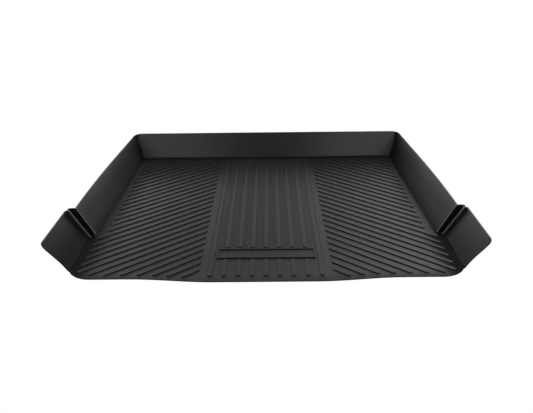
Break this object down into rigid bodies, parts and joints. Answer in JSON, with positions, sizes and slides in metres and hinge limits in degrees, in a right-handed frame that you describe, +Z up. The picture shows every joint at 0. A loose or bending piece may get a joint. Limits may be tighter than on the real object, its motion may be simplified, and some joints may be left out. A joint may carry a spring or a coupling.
{
  "type": "car boot liner",
  "caption": "Moulded rubber tray for a car boot, with raised walls on three sides, a ribbed floor, side ears with slots and an open sill edge.",
  "frame": {"origin": "middle of the overall box, seen from above, on the underside of the floor", "axes": "+X to the right across the car, +Y from the open sill edge towards the seats, +Z up out of the tray"},
  "size_m": [1.2374, 0.9202, 0.103],
  "materials": {
    "rubber": "matt, finely grained"
  },
  "bodies": {
    "root": {"liner": "rubber"}
  },
  "joints": []
}
